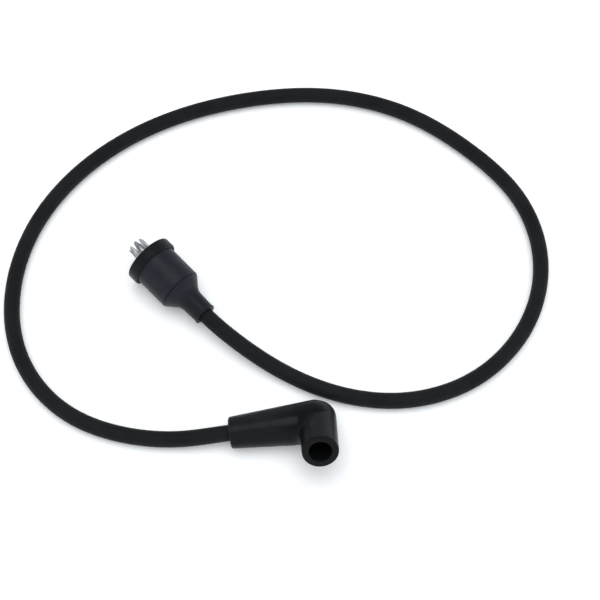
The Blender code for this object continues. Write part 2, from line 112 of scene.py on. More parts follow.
# Wax bloom and painted sheen on the straight boot, at its sleeve, half way up its cone, at its
# body's front and on its flange. The cone's full share is painted sheen that makes it as pale as
# the body
STRAIGHT_BLOOM_AND_SHEEN = (0.35, 1.0, 0.9, 0.0)

# Painted light on the elbow's sleeve: the strength of the painted sheen on its upper side, and
# where it and the painted highlight streak fade, in degrees from the sleeve's top towards the mouth
TOP_SHEEN = 0.5
TOP_SHEEN_FADE = (30, 60)
HIGHLIGHT_STREAK_FADES = (-6, 2, 14, 24)

# The part of a noise pattern's range that is spread over two values, and over two colours
VALUE_RANGE = (0.3, 0.7)
COLOUR_RANGE = (0.35, 0.7)

# A Mix node's colour sockets have the same names as its number sockets, so they go by place
MIX_A, MIX_B, MIX_RESULT = 6, 7, 2

# The camera stands as high over the table and as far off as the photograph's
CAMERA_AIM = Vector((0.03168, 0.02805, 0.0))
CAMERA_HEADING = math.radians(3.2)
CAMERA_HEIGHT = math.radians(64.5)
CAMERA_DISTANCE = 0.627
CAMERA_LENS = 84.0
CAMERA_SENSOR = 36.0
CAMERA_CLIP = (0.01, 100.0)

# The table, and the strength of the white that is added to it where it is seen
TABLE_SIZE = 8.0
TABLE_LIFT = 0.2

# The softbox over the table
LAMP_PLACE = Vector((0.03, 0.12, 1.5))
LAMP_AIM = Vector((0.03, 0.03, 0.0))
LAMP_SIZE = 0.9
LAMP_POWER = 3.5


def linear(text):
    """The linear values of an sRGB colour written in hex."""
    parts = [int(text[k : k + 2], 16) / 255 for k in (0, 2, 4)]
    return tuple(c / 12.92 if c <= 0.04045 else ((c + 0.055) / 1.055) ** 2.4 for c in parts)


def length(name, description, default):
    """A size in metres."""
    return FloatProperty(
        name=name,
        description=description,
        default=default,
        min=0.0,
        precision=5,
        unit="LENGTH",
        subtype="DISTANCE",
    )


def spot(name, description, default):
    """One coordinate of a place on the table, in metres."""
    return FloatProperty(
        name=name,
        description=description,
        default=default,
        min=-1.0,
        max=1.0,
        precision=5,
        unit="LENGTH",
    )


def turn(name, description, degrees):
    """An angle."""
    return FloatProperty(
        name=name,
        description=description,
        default=math.radians(degrees),
        unit="ROTATION",
        subtype="ANGLE",
    )


def colour(name, description, text):
    """A colour, from its sRGB hex."""
    return FloatVectorProperty(
        name=name,
        description=description,
        default=linear(text),
        size=3,
        min=0.0,
        max=1.0,
        subtype="COLOR",
    )


class CoilWireSizes(bpy.types.PropertyGroup):
    """Sizes, angles and places of the lead's pieces"""

    cable: length("Cable", "Diameter of the cable's jacket", 0.0070)
    conductor: length("Conductor", "Diameter of the bared conductor", 0.0016)
    clearance: length("Clearance", "Gap between a piece and what holds it", 0.0003)
    edge: length("Edge", "Radius of a moulded rim", 0.0005)
    nip: length("Nip", "Radius of the tightest moulded corners", 0.0004)

    flange: length("Flange", "Diameter of the straight boot's flange", 0.0233)
    flange_length: length("Flange length", "From the mouth to the flange's back", 0.0051)
    flange_corner: length("Flange corner", "Radius of the flange's back corner", 0.0008)
    body_front: length("Body front", "Diameter of the body behind the flange", 0.0205)
    body_rear: length("Body rear", "Diameter of the body at its shoulder", 0.0203)
    body_length: length("Body length", "From the flange to the shoulder", 0.0161)
    cone_angle: turn("Cone angle", "Between the cone's side and its axis", 38.7)
    cone_fillet: length("Cone fillet", "Radius between the cone and the sleeve", 0.0060)
    sleeve_front: length("Sleeve front", "Diameter of the sleeve at the cone", 0.0106)
    sleeve_rear: length("Sleeve rear", "Diameter of the sleeve at the cable", 0.0099)
    sleeve_length: length("Sleeve length", "From the cone to the sleeve's end", 0.0081)
    groove: length("Groove", "Width of the fine groove round the shoulder", 0.0004)
    bead_length: length("Bead length", "Length of the bead at the sleeve's end", 0.0010)
    bead_height: length("Bead height", "How far the bead stands out", 0.0003)
    mouth_bore: length("Mouth bore", "Diameter of the straight boot's hollow", 0.0150)
    cavity_depth: length("Cavity depth", "Depth of the straight boot's hollow", 0.0165)
    cavity_corner: length("Cavity corner", "Radius at the bottom of a hollow", 0.0012)

    elbow_rear: length("Elbow rear", "Diameter of the elbow's sleeve at the cable", 0.0135)
    rear_edge: length("Rear edge", "Radius of the rim at the elbow sleeve's end", 0.0010)
    elbow_shoulder: length("Elbow shoulder", "Diameter of the sleeve at the head", 0.0190)
    elbow_sleeve: length("Elbow sleeve", "From the bores' crossing to the sleeve's end", 0.0374)
    shoulder_place: length("Shoulder place", "From the bores' crossing to the shoulder", 0.0010)
    shoulder_round: length("Shoulder round", "Length of the shoulder's rounded end", 0.0085)
    head: length("Head", "Diameter of the elbow's head", 0.0164)
    heel_depth: length("Heel depth", "From the bores' crossing to the heel", 0.0089)
    heel_corner: length("Heel corner", "Radius of the heel's edge", 0.0068)
    mouth: length("Mouth", "Diameter of the elbow's mouth", 0.0154)
    mouth_reach: length("Mouth reach", "From the bores' crossing to the mouth", 0.0217)
    plug_bore: length("Plug bore", "Diameter of the bore in the mouth", 0.0096)
    plug_bore_depth: length("Plug bore depth", "How deep that bore goes", 0.0095)
    head_cavity: length("Head cavity", "Diameter of the hollow behind the bore", 0.0104)
    head_cavity_depth: length("Head cavity depth", "How far past the crossing it goes", 0.0060)
    crotch: length("Crotch", "Reach of the fillet between the sleeve and the leg", 0.0048)

    sheet: length("Sheet", "Thickness of the terminals' sheet", 0.0005)
    sheet_edge: length("Sheet edge", "Rounding of a stamped edge", 0.00008)
    crimp_length: length("Crimp length", "Length of a cable crimp", 0.0095)
    crimp_shoulder: length("Crimp shoulder", "From the wire barrel to the crimp", 0.0020)
    wire_barrel: length("Wire barrel", "Length of a wire barrel", 0.0040)
    seam: length("Seam", "Gap where a rolled barrel meets", 0.0006)
    prongs: IntProperty(name="Prongs", description="Prongs in the crown", default=8, min=4, max=16)
    prong_reach: length("Prong reach", "From the mouth to the prongs' tips", 0.0082)
    prong_root: length("Prong root", "From the mouth to the prongs' roots", 0.0010)
    prong_tip: length("Prong tip", "Width of a prong's tip", 0.0011)
    prong_taper: FloatProperty(
        name="Prong taper", description="How late a prong narrows", default=3.5, min=1.0, max=6.0
    )
    root_gap: length("Root gap", "Gap between two prongs' roots", 0.0005)
    crown: length("Crown", "Diameter of the crown", 0.0086)
    crown_tips: length("Crown tips", "Diameter over the prongs' tips", 0.0078)
    crown_ring: length("Crown ring", "Length of the ring below the prongs", 0.0080)
    crown_shoulder: length("Crown shoulder", "From the ring to the wire barrel", 0.0025)
    crown_turn: turn("Crown turn", "How the crown is turned about its axis", 16.5)

    straight_x: spot("Straight X", "Where the straight boot's mouth is across the table", -0.0350)
    straight_y: spot("Straight Y", "Where the straight boot's mouth is along the table", 0.0471)
    straight_heading: turn("Straight heading", "Where the straight boot's mouth points", 131.3)
    elbow_x: spot("Elbow X", "Where the elbow's bores cross, across the table", 0.0356)
    elbow_y: spot("Elbow Y", "Where the elbow's bores cross, along the table", -0.0338)
    elbow_rise: turn("Elbow rise", "How far the elbow's mouth points up", 34.6)


class CoilWireColours(bpy.types.PropertyGroup):
    """Colours of the lead's materials and of the stage"""

    jacket: colour("Jacket", "Extruded rubber of the cable's jacket", "131416")
    jacket_worn: colour("Jacket, dusty", "Jacket where dust has rubbed in", "1B1C1F")
    # Bloom colours: wax bloom and painted sheen on the straight boot, painted sheen and highlight
    # on the elbow
    boot: colour("Straight boot", "Moulded rubber of the coil end's boot", "15161B")
    boot_bloom_and_sheen: colour("Straight boot, bloom", "Where wax has bloomed on that boot", "2B2C35")
    elbow_boot: colour("Elbow boot", "Moulded rubber of the right-angle boot", "0E0F11")
    elbow_boot_painted_sheen: colour("Elbow boot, bloom", "Where wax has bloomed on that boot", "282A2E")
    tin: colour("Tin plate", "Bright tin plate on brass sheet", "CFCFD2")
    tin_dull: colour("Tin plate, dull", "Tin plate that has been handled", "97989B")
    spring: colour("Spring steel", "Drawn spring wire", "8E9094")
    strand: colour("Strand", "Tinned copper strand", "B9ADA0")
    table: colour("Table", "White table top", "F4F5F6")
    room: colour("Room", "Cool white of the walls and the ceiling", "F9FDFF")


def cable_radius(s):
    return s.cable / 2


def cable_bore(s):
    return s.cable / 2 + s.clearance


def crimp_radius(s):
    return cable_bore(s) + s.sheet


def wire_barrel_radius(s):
    return s.conductor / 2 + s.clearance + s.sheet


def shoulder_depth(s):
    return s.flange_length + s.body_length


def cone_length(s):
    """From the shoulder to where the cone's fillet runs out in the sleeve."""
    drop = (s.body_rear - s.sleeve_front) / 2
    return drop / math.tan(s.cone_angle) + s.cone_fillet * math.tan(s.cone_angle / 2)


def straight_length(s):
    return shoulder_depth(s) + cone_length(s) + s.sleeve_length


def straight_barrel_front(s):
    return s.crown_ring + s.crown_shoulder - s.prong_root


def elbow_barrel_front(s):
    return s.head_cavity / 2 + s.wire_barrel


def crimp_span(s):
    return s.wire_barrel + s.crimp_shoulder + s.crimp_length


def cable_depth(s, barrel_front):
    """How deep in a boot the cable's end face lies."""
    return barrel_front + 2 * s.clearance + s.wire_barrel + s.crimp_shoulder


def straight_frame(s):
    """From the straight end's own frame to the table: it lies on its flange and its shoulder."""
    drop = s.flange / 2 - s.flange_corner - s.body_rear / 2
    run = shoulder_depth(s) - (s.flange_length - s.flange_corner)
    tilt = math.atan2(drop, run) + math.asin(s.flange_corner / math.hypot(drop, run))
    height = s.body_rear / 2 * math.cos(tilt) + shoulder_depth(s) * math.sin(tilt)
    heading = Matrix.Rotation(s.straight_heading, 4, "Z")
    attitude = heading @ Matrix.Rotation(math.pi / 2 - tilt, 4, "Y")
    return Matrix.Translation((s.straight_x, s.straight_y, height)) @ attitude


def elbow_frame(s):
    """From the elbow end's own frame to the table: its sleeve lies along its side."""
    growth = (s.elbow_shoulder - s.elbow_rear) / 2
    slope = math.atan2(growth, s.elbow_sleeve - s.shoulder_place)
    height = s.elbow_shoulder / 2 / math.cos(slope) + s.shoulder_place * math.sin(slope)
    swing = math.asin(math.sin(slope) / math.cos(s.elbow_rise))
    lean = Matrix.Rotation(math.pi / 2 - s.elbow_rise, 4, "X")
    attitude = lean @ Matrix.Rotation(swing, 4, "Z")
    return Matrix.Translation((s.elbow_x, s.elbow_y, height)) @ attitude


def along_sleeve():
    """Turns a piece's own +Z onto the elbow frame's +X."""
    return Matrix.Rotation(math.pi / 2, 4, "Y")


def select_only(piece):
    bpy.ops.object.select_all(action="DESELECT")
    piece.select_set(True)
    bpy.context.view_layer.objects.active = piece


def start(name, add, **settings):
    """Adds a primitive with nothing else selected, and names it."""
    bpy.ops.object.select_all(action="DESELECT")
    add(**settings)
    piece = bpy.context.object
    piece.name = piece.data.name = name
    return piece


def settle(piece, matrix):
    """Moves a modelled piece to its place and puts that place in its mesh."""
    piece.matrix_world = matrix @ piece.matrix_world
    select_only(piece)
    bpy.ops.object.transform_apply(location=True, rotation=True, scale=True)
    return piece


def apply_modifier(piece, kind, **settings):
    modifier = piece.modifiers.new(kind.title(), kind)
    for name, value in settings.items():
        setattr(modifier, name, value)
    select_only(piece)
    bpy.ops.object.modifier_apply(modifier=modifier.name)


def carve(piece, cutter, operation="DIFFERENCE"):
    """Cuts a piece by another, or joins that to it, and removes the other."""
    apply_modifier(piece, "BOOLEAN", operation=operation, solver="EXACT", object=cutter)
    bpy.data.objects.remove(cutter)


def arc(centre, radius, first, last, steps=ARC_STEPS):
    """Points (radius, height) on an arc, from one angle in degrees to another."""
    angles = [math.radians(first + (last - first) * k / steps) for k in range(steps + 1)]
    return [(centre[0] + radius * math.cos(a), centre[1] + radius * math.sin(a)) for a in angles]


def extrude_ring(rise, scale, height):
    """Extrudes the selected ring up or down, and scales it about the Z axis."""
    bpy.ops.mesh.extrude_edges_move(TRANSFORM_OT_translate={"value": (0, 0, rise)})
    bpy.ops.transform.resize(value=(scale, scale, 1), center_override=(0, 0, height))


def turned(name, profile, sides, closed=True):
    """Builds a turned piece about Z, ring by ring, through (radius, height) points.

    A closed one gets a face at both ends, and otherwise it stays an open skin.
    """
    radius, height = profile[0]
    piece = start(
        name,
        bpy.ops.mesh.primitive_circle_add,
        vertices=sides,
        radius=radius,
        location=(0, 0, height),
        fill_type="NGON" if closed else "NOTHING",
    )
    bpy.ops.object.mode_set(mode="EDIT")
    bpy.ops.mesh.select_mode(type="EDGE")
    bpy.ops.mesh.select_all(action="SELECT")
    for (r, z), (next_r, next_z) in zip(profile, profile[1:]):
        extrude_ring(next_z - z, next_r / r, next_z)
    if closed:
        bpy.ops.mesh.edge_face_add()
    bpy.ops.mesh.select_all(action="SELECT")
    bpy.ops.mesh.remove_doubles(threshold=WELD)
    bpy.ops.mesh.normals_make_consistent(inside=False)
    bpy.ops.object.mode_set(mode="OBJECT")
    bpy.ops.object.transform_apply(location=True, rotation=True, scale=True)
    return piece


def block(name, low, high):
    """A block between two corners, for cutting."""
    middle = [(a + b) / 2 for a, b in zip(low, high)]
    size = [b - a for a, b in zip(low, high)]
    piece = start(name, bpy.ops.mesh.primitive_cube_add, size=1.0, location=middle, scale=size)
    bpy.ops.object.transform_apply(location=True, rotation=True, scale=True)
    return piece


def smooth(piece, angle=SMOOTH_ANGLE):
    select_only(piece)
    bpy.ops.object.shade_smooth_by_angle(angle=angle)


def dress(piece, material, slot, *nodes):
    """Gives a piece its finish, hangs it from the root and hides the solids that it stands for."""
    piece.data.materials.clear()
    piece.data.materials.append(material)
    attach(piece, "root")
    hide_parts(*nodes)


def add_node(tree, kind, settings=None, links=None):
    """Adds a node. Settings and links go by a socket's name or place, or by a field's name."""
    node = tree.nodes.new(kind)
    for key, value in (settings or {}).items():
        if isinstance(key, int) or key in node.inputs:
            node.inputs[key].default_value = value
        else:
            setattr(node, key, value)
    for key, output in (links or {}).items():
        tree.links.new(output, node.inputs[key])
    return node


def new_material(name):
    """An empty Principled material, and its tree and shader."""
    material = bpy.data.materials.new(name)
    material.use_nodes = True
    return material, material.node_tree, material.node_tree.nodes["Principled BSDF"]


def set_shader(shader, values, links):
    """Sets a shader's own sockets, and links others to patterns."""
    for name, value in values.items():
        shader.inputs[name].default_value = value
    for name, output in links.items():
        shader.id_data.links.new(output, shader.inputs[name])


def per_mm(size):
    """The noise scale at which one blotch is about that many millimetres wide."""
    return 1000.0 / size


def mottled(tree, coordinates, blotch, spread, detail=3.0):
    """A noise pattern with blotches that many mm wide, spread between two values or two colours."""
    settings = {"Scale": per_mm(blotch), "Detail": detail}
    noise = add_node(tree, "ShaderNodeTexNoise", settings, {"Vector": coordinates}).outputs["Fac"]
    if isinstance(spread[0], float):
        ends = ("From Min", "From Max", "To Min", "To Max")
        settings = dict(zip(ends, (*VALUE_RANGE, *spread)))
        return add_node(tree, "ShaderNodeMapRange", settings, {"Value": noise}).outputs["Result"]
    ramp = add_node(tree, "ShaderNodeValToRGB", links={"Fac": noise})
    for stop, place, value in zip(ramp.color_ramp.elements, COLOUR_RANGE, spread):
        stop.position = place
        stop.color = (*value, 1.0)
    return ramp.outputs["Color"]


def paint_bloom_and_sheen(piece, share):
    """Writes how much wax bloom and painted sheen each point of a piece gets, from none to all."""
    amount = piece.data.attributes.new("bloom_and_sheen", "FLOAT", "POINT")
    amount.data.foreach_set("value", [float(share(v.co)) for v in piece.data.vertices])


def moulded_rubber(name, clean, bloom_and_sheen, shine):
    """Black rubber from a blasted steel mould: a satin skin with a fine even grain.

    It pales in clouds as far as its bloom attribute says: wax bloom, painted sheen, painted
    highlights.
    """
    material, tree, shader = new_material(name)
    place = add_node(tree, "ShaderNodeTexCoord").outputs["Object"]
    reach = add_node(tree, "ShaderNodeAttribute", {"attribute_name": "bloom_and_sheen"}).outputs["Fac"]
    patches = mottled(tree, place, blotch=6.0, spread=(0.6, 1.0))
    cloud = add_node(tree, "ShaderNodeMath", {"operation": "MULTIPLY"}, {0: reach, 1: patches})
    skin = add_node(
        tree,
        "ShaderNodeMix",
        {"data_type": "RGBA", MIX_A: (*clean, 1.0), MIX_B: (*bloom_and_sheen, 1.0)},
        {"Factor": cloud.outputs["Value"]},
    )
    grain = mottled(tree, place, blotch=0.35, spread=(0.0, 1.0), detail=1.0)
    relief = {"Strength": 0.25, "Distance": 0.00004}
    bump = add_node(tree, "ShaderNodeBump", relief, {"Height": grain})
    set_shader(
        shader,
        {"IOR": 1.5, "Specular IOR Level": shine},
        {
            "Base Color": skin.outputs[MIX_RESULT],
            "Roughness": mottled(tree, place, blotch=5.0, spread=(0.34, 0.44)),
            "Normal": bump.outputs["Normal"],
        },
    )
    return material


def extruded_jacket(colours):
    """Black rubber drawn through a die: duller than the boots, with faint lines along it."""
    material, tree, shader = new_material("black rubber, extruded")
    coordinates = add_node(tree, "ShaderNodeTexCoord").outputs
    place = coordinates["Object"]
    # The die's lines are too fine to show, so 31 are drawn round the jacket, each about 0.7 mm wide
    settings = {"Scale": (24.0, 31.0, 1.0)}
    stretch = add_node(tree, "ShaderNodeMapping", settings, {"Vector": coordinates["UV"]})
    settings = {"Scale": 1.0, "Detail": 2.0}
    lines = add_node(tree, "ShaderNodeTexNoise", settings, {"Vector": stretch.outputs["Vector"]})
    relief = {"Strength": 0.15, "Distance": 0.00004}
    bump = add_node(tree, "ShaderNodeBump", relief, {"Height": lines.outputs["Fac"]})
    skins = (colours.jacket, colours.jacket_worn)
    set_shader(
        shader,
        {"IOR": 1.5, "Specular IOR Level": 0.15},
        {
            "Base Color": mottled(tree, place, blotch=14.0, spread=skins),
            "Roughness": mottled(tree, place, blotch=6.0, spread=(0.58, 0.7)),
            "Normal": bump.outputs["Normal"],
        },
    )
    return material


def metal(name, bright, dull, roughness, blotch):
    """A bare or plated metal: blotches of brighter and duller skin, and roughness that follows."""
    material, tree, shader = new_material(name)
    place = add_node(tree, "ShaderNodeTexCoord").outputs["Object"]
    set_shader(
        shader,
        {"Metallic": 1.0},
        {
            "Base Color": mottled(tree, place, blotch, (dull, bright)),
            "Roughness": mottled(tree, place, blotch / 2, roughness),
        },
    )
    return material


def smooth_curve(points, first_heading, last_heading, step):
    """Points a step apart on a curve through the given ones, with no break in its bending."""
    knots = np.array(points)
    spans = np.linalg.norm(np.diff(knots, axis=0), axis=1)
    count = len(knots)
    system = np.eye(count)
    slopes = np.zeros((count, 3))
    slopes[0], slopes[-1] = first_heading, last_heading
    for k in range(1, count - 1):
        before, after = spans[k - 1], spans[k]
        system[k, k - 1 : k + 2] = after, 2 * (before + after), before
        slopes[k] = 3 * after / before * (knots[k] - knots[k - 1])
        slopes[k] += 3 * before / after * (knots[k + 1] - knots[k])
    slopes = np.linalg.solve(system, slopes)
    fine = [knots[0]]
    for k, span in enumerate(spans):
        for t in np.linspace(0, 1, CURVE_SAMPLES + 1)[1:]:
            blend = t * t * (3 - 2 * t)
            bend = t * (1 - t) * ((1 - t) * slopes[k] - t * slopes[k + 1]) * span
            fine.append(knots[k] * (1 - blend) + knots[k + 1] * blend + bend)
    fine = np.array(fine)
    strides = np.linalg.norm(np.diff(fine, axis=0), axis=1)
    travelled = np.concatenate([[0.0], np.cumsum(strides)])
    stops = np.linspace(0, travelled[-1], round(travelled[-1] / step) + 1)
    return np.column_stack([np.interp(stops, travelled, fine[:, axis]) for axis in range(3)])


def cable_points(s):
    """The cable's centre line: straight in each boot, and one smooth curve between them."""
    straight, elbow = straight_frame(s), elbow_frame(s)
    first = straight @ Vector((0, 0, -cable_depth(s, straight_barrel_front(s))))
    straight_exit = straight @ Vector((0, 0, -straight_length(s) - s.clearance))
    elbow_exit = elbow @ Vector((-s.elbow_sleeve - s.clearance, 0, 0))
    last = elbow @ Vector((-cable_depth(s, elbow_barrel_front(s)), 0, 0))
    out = (straight_exit - first).normalized()
    back = (last - elbow_exit).normalized()
    middle = smooth_curve([straight_exit, *ROUTE, elbow_exit], out, back, CABLE_STEP)
    middle[:, 2] = np.maximum(middle[:, 2], cable_radius(s))
    return straight_exit, [tuple(first), *map(tuple, middle.tolist()), tuple(last)]


class COILWIRE_OT_place_camera(bpy.types.Operator):
    """Set the camera at the photograph's distance and angle above the table"""

    bl_idname = "coil_wire.place_camera"
    bl_label = "Place Camera"

    def execute(self, context):
        back = Vector((
            -math.sin(CAMERA_HEADING) * math.cos(CAMERA_HEIGHT),
            -math.cos(CAMERA_HEADING) * math.cos(CAMERA_HEIGHT),
            math.sin(CAMERA_HEIGHT),
        ))
        bpy.ops.object.camera_add(location=CAMERA_AIM + back * CAMERA_DISTANCE)
        camera = context.object
        camera.name = camera.data.name = "camera"
        camera.rotation_euler = (math.pi / 2 - CAMERA_HEIGHT, 0, -CAMERA_HEADING)
        camera.data.sensor_width = CAMERA_SENSOR
        camera.data.lens = CAMERA_LENS
        camera.data.clip_start, camera.data.clip_end = CAMERA_CLIP
        context.scene.camera = camera
        return {"FINISHED"}


class COILWIRE_OT_lay_cable(bpy.types.Operator):
    """Lay the cable's jacket in its loop from boot to boot"""

    bl_idname = "coil_wire.lay_cable"
    bl_label = "Lay Cable"

    def execute(self, context):
        s = context.scene.coil_wire_sizes
        leave, points = cable_points(s)
        curve = bpy.data.curves.new("cable_jacket", "CURVE")
        curve.dimensions = "3D"
        curve.bevel_depth = cable_radius(s)
        curve.bevel_resolution = CABLE_ROUNDNESS
        curve.use_fill_caps = True
        spline = curve.splines.new("POLY")
        spline.points.add(len(points) - 1)
        for knot, place in zip(spline.points, points):
            knot.co = (*place, 1.0)
        spline.use_smooth = True
        cable = bpy.data.objects.new("cable_jacket", curve)
        context.scene.collection.objects.link(cable)
        select_only(cable)
        bpy.ops.object.convert(target="MESH")
        cable = context.object
        dress(cable, extruded_jacket(context.scene.coil_wire_colours), "jacket_rubber", "cable")
        return {"FINISHED"}


class COILWIRE_OT_mould_straight_boot(bpy.types.Operator):
    """Turn the coil end's boot: flange, body, hollow cone and beaded sleeve, with its bores"""

    bl_idname = "coil_wire.mould_straight_boot"
    bl_label = "Mould Straight Boot"

    def execute(self, context):
        s = context.scene.coil_wire_sizes
        flange, bore = s.flange / 2, s.mouth_bore / 2
        front, rear = s.body_front / 2, s.body_rear / 2
        neck, end = s.sleeve_front / 2, s.sleeve_rear / 2
        far = -straight_length(s)
        shoulder = -shoulder_depth(s)
        edge, lip, nip = s.edge, s.edge / 2, s.nip

        profile = arc((flange - edge, -edge), edge, 90, 0)
        back = (flange - s.flange_corner, s.flange_corner - s.flange_length)
        profile += arc(back, s.flange_corner, 0, -90)
        profile += arc((front + nip, -s.flange_length), nip, 90, 180, LIP_STEPS)[1:]
        slant = math.degrees(s.cone_angle)
        # The shoulder's corner breaks off at a fine groove, and the cone starts past it
        profile += arc((rear - nip, shoulder + nip), nip, 0, -60, LIP_STEPS)
        profile.append((rear - GROOVE_DEPTH * s.groove, shoulder - GROOVE_FLOOR * s.groove))
        profile.append((rear - s.groove * math.tan(s.cone_angle), shoulder - s.groove))
        fillet = (neck + s.cone_fillet, shoulder - cone_length(s))
        profile += arc(fillet, s.cone_fillet, 180 - slant, 180, 2 * ARC_STEPS)
        bead, bead_front = end + s.bead_height, far + s.bead_length
        foot = end + s.bead_height / 3
        profile += [(foot, bead_front + nip), (foot, bead_front)]
        profile += arc((bead - lip / 2, bead_front - s.bead_height), lip / 2, 60, 0, steps=3)
        profile += arc((bead - lip, far + lip), lip, 0, -90, LIP_STEPS)
        profile += arc((cable_bore(s) + lip, far + lip), lip, -90, -180, LIP_STEPS)
        pocket = -straight_barrel_front(s) - crimp_span(s) - s.clearance
        crimp = crimp_radius(s) + s.clearance
        profile += [(cable_bore(s), pocket), (crimp, pocket), (crimp, -s.cavity_depth)]
        floor = (bore - s.cavity_corner, s.cavity_corner - s.cavity_depth)
        profile += arc(floor, s.cavity_corner, -90, 0)
        profile += arc((bore + edge, -edge), edge, 180, 90, steps=5)
        profile.append(profile[0])

        boot = turned("straight_boot_moulding", profile, BOOT_SIDES, closed=False)
        # The flange is rubbed clean and the sleeve nearly so, and the body has bloomed. The cone
        # gets a painted sheen that lightens it where it faces away from the lamp
        front_end = -s.flange_length
        heights = (far + s.sleeve_length, shoulder - cone_length(s) / 2, front_end, front_end + lip)
        paint_bloom_and_sheen(boot, lambda co: np.interp(co.z, heights, STRAIGHT_BLOOM_AND_SHEEN))
        settle(boot, straight_frame(s))
        smooth(boot)
        colours = context.scene.coil_wire_colours
        clean, bloom_and_sheen = colours.boot, colours.boot_bloom_and_sheen
        rubber = moulded_rubber("blue-black rubber, moulded", clean, bloom_and_sheen, shine=0.15)
        dress(boot, rubber, "boot_rubber", "straight_boot")
        return {"FINISHED"}


def crimp_profile(s, front):
    """The outside of a wire barrel and its cable crimp, downwards from the height given."""
    below = front - s.wire_barrel
    crimp = below - s.crimp_shoulder
    return [
        (wire_barrel_radius(s), front),
        (wire_barrel_radius(s), below),
        (crimp_radius(s), crimp),
        (crimp_radius(s), crimp - s.crimp_length),
    ]


def prong_gap(s):
    """The flat wedge between two prongs, drawn upwards edge by edge and made thick both ways."""
    pitch = math.pi * s.crown_tips / s.prongs
    half_gap = (pitch - s.prong_tip) / 2
    root = s.root_gap / 2
    rise = (s.prong_reach - s.prong_root) / PRONG_STEPS
    piece = start("prong_gap", bpy.ops.mesh.primitive_plane_add, size=1.0)
    bpy.ops.object.mode_set(mode="EDIT")
    bpy.ops.mesh.select_all(action="SELECT")
    bpy.ops.transform.resize(value=(s.root_gap, rise / 2, 1))
    bpy.ops.transform.rotate(value=math.pi / 2, orient_axis="X", center_override=(0, 0, 0))
    bpy.ops.object.mode_set(mode="OBJECT")
    top = max(v.co.z for v in piece.data.vertices)
    for edge in piece.data.edges:
        edge.select = all(abs(piece.data.vertices[v].co.z - top) < WELD for v in edge.vertices)
    for vertex in piece.data.vertices:
        vertex.select = abs(vertex.co.z - top) < WELD
    for face in piece.data.polygons:
        face.select = False
    bpy.ops.object.mode_set(mode="EDIT")
    bpy.ops.mesh.select_mode(type="EDGE")
    bpy.ops.transform.translate(value=(0, 0, s.prong_root - top))
    width = root
    for k in range(1, PRONG_STEPS + 1):
        wider = root + (half_gap - root) * (k / PRONG_STEPS) ** s.prong_taper
        bpy.ops.mesh.extrude_edges_move(TRANSFORM_OT_translate={"value": (0, 0, rise)})
        bpy.ops.transform.resize(value=(wider / width, 1, 1), center_override=(0, 0, 0))
        width = wider
    bpy.ops.mesh.extrude_edges_move(TRANSFORM_OT_translate={"value": (0, 0, OVERSHOOT)})
    bpy.ops.mesh.select_all(action="SELECT")
    bpy.ops.transform.translate(value=(0, -s.crown, 0))
    bpy.ops.mesh.extrude_region_move(TRANSFORM_OT_translate={"value": (0, 2 * s.crown, 0)})
    bpy.ops.mesh.select_all(action="SELECT")
    bpy.ops.mesh.normals_make_consistent(inside=False)
    bpy.ops.object.mode_set(mode="OBJECT")
    return piece


class COILWIRE_OT_stamp_prong_terminal(bpy.types.Operator):
    """Roll the coil end's terminal: a crown of tapered prongs, its ring, wire barrel and crimp"""

    bl_idname = "coil_wire.stamp_prong_terminal"
    bl_label = "Stamp Prong Terminal"

    def execute(self, context):
        s = context.scene.coil_wire_sizes
        crown, tips = s.crown / 2, s.crown_tips / 2
        ring_end = s.prong_root - s.crown_ring
        front = -straight_barrel_front(s)
        profile = []
        for k in range(ARC_STEPS + 1):
            share = k / ARC_STEPS
            radius = tips + (crown - tips) * (1 - (1 - share) ** 2)
            profile.append((radius, s.prong_reach + (s.prong_root - s.prong_reach) * share))
        profile += [(crown, ring_end)] + crimp_profile(s, front)
        terminal = turned("crown_terminal", profile, METAL_SIDES, closed=False)
        apply_modifier(terminal, "SOLIDIFY", thickness=s.sheet, offset=-1.0, use_even_offset=True)

        gap = prong_gap(s)
        for k in range(s.prongs // 2):
            cutter = gap.copy()
            cutter.data = gap.data.copy()
            context.scene.collection.objects.link(cutter)
            cutter.matrix_world = Matrix.Rotation(2 * math.pi * k / s.prongs, 4, "Z")
            carve(terminal, cutter)
        bpy.data.objects.remove(gap)

        side = crimp_radius(s) + OVERSHOOT
        keep = wire_barrel_radius(s) / 2
        rear = front - s.wire_barrel
        low = (-side, -side, ring_end - s.sheet)
        carve(terminal, block("crown_window", low, (keep, side, front + s.sheet / 2)))
        low = (-side, -side, rear - s.sheet / 2)
        carve(terminal, block("crimp_window", low, (keep, side, rear - s.crimp_shoulder + s.sheet)))
        low = (-side, -s.seam / 2, front - crimp_span(s) - OVERSHOOT)
        carve(terminal, block("seam", low, (0.0, s.seam / 2, s.prong_root + s.seam)))
        apply_modifier(
            terminal,
            "BEVEL",
            width=s.sheet_edge,
            segments=2,
            limit_method="ANGLE",
            angle_limit=BEVEL_ANGLE,
        )
        settle(terminal, straight_frame(s) @ Matrix.Rotation(s.crown_turn, 4, "Z"))
        smooth(terminal)
        colours = context.scene.coil_wire_colours
        tin = metal(
            "tin plate on rolled brass",
            colours.tin,
            colours.tin_dull,
            roughness=(0.14, 0.28),
            blotch=1.2,
        )
        dress(terminal, tin, "tinned_brass", "prong_terminal")
        return {"FINISHED"}


